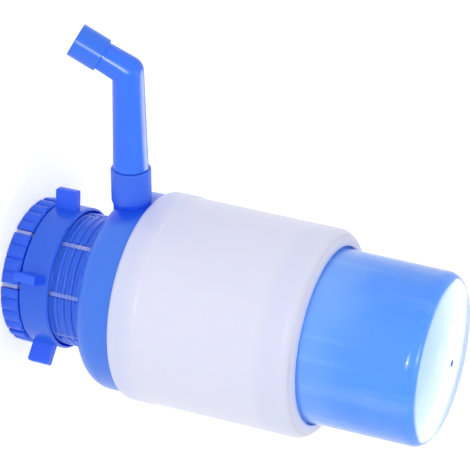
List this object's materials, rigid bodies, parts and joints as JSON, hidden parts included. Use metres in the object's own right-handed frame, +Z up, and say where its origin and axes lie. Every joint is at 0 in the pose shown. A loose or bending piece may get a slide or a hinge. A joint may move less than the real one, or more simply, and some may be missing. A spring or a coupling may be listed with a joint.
{
  "type": "water jug hand pump",
  "caption": "Hand pump for a large water jug: a press cap works a bellows in a barrel above a split screw collet, with a swivelling elbow spout.",
  "frame": {"origin": "on the pump's axis, at the mouth of the collet that goes over the jug's neck", "axes": "+Z up the pump's axis towards the press cap; the spout stands out along -Y"},
  "size_m": [0.0946, 0.174, 0.2],
  "materials": {
    "cap_blue": "smooth moulded polypropylene with a soft gloss",
    "base_blue": "smooth moulded polypropylene",
    "ring_blue": "smooth moulded polypropylene",
    "spout_blue": "smooth moulded polypropylene",
    "barrel_white": "slightly translucent white polypropylene",
    "seal_clear": "milky, translucent soft elastomer",
    "bellows_white": "soft blown polyethylene",
    "inner_white": "moulded polypropylene",
    "valve_silicone": "silicone rubber",
    "oring_rubber": "black nitrile rubber"
  },
  "bodies": {
    "pump_base": {"base_body": "base_blue", "neck_seal": "seal_clear", "outer_barrel": "barrel_white", "bellows": "bellows_white", "bellows_base_clamp": "inner_white", "valve_deck": "inner_white", "deck_seal": "oring_rubber", "outlet_valve_cage": "inner_white", "dip_tube_nipple": "base_blue", "nipple_seal": "oring_rubber"},
    "press_head": {"press_cap": "cap_blue", "bellows_top_plate": "inner_white", "bellows_top_clamp": "inner_white", "intake_valve_cage": "inner_white"},
    "lock_collar": {"lock_ring": "ring_blue"},
    "spout": {"spout_pipe": "spout_blue", "spout_seal": "oring_rubber", "spout_nozzle": "spout_blue"},
    "intake_disc": {"intake_valve_disc": "valve_silicone"},
    "outlet_disc": {"outlet_valve_disc": "valve_silicone"}
  },
  "joints": [
    {"name": "press_slide", "type": "slide", "parent": "pump_base", "child": "press_head", "axis": [0, 0, -1], "range_m": [0, 0.045], "stiffness_N_per_m": 200, "springref_m": -0.02, "deforming": ["bellows"]},
    {"name": "spout_swivel", "type": "hinge", "parent": "pump_base", "child": "spout", "pos_m": [0, -0.0617, 0.0499], "axis": [0, -1, 0], "continuous": true},
    {"name": "lock_ring_turn", "type": "hinge", "parent": "pump_base", "child": "lock_collar", "pos_m": [0, 0, 0.016], "axis": [0, 0, 1], "continuous": true},
    {"name": "intake_disc_lift", "type": "slide", "parent": "press_head", "child": "intake_disc", "axis": [0, 0, 1], "range_m": [0, 0.0012]},
    {"name": "outlet_disc_lift", "type": "slide", "parent": "pump_base", "child": "outlet_disc", "axis": [0, 0, 1], "range_m": [0, 0.0012]}
  ]
}
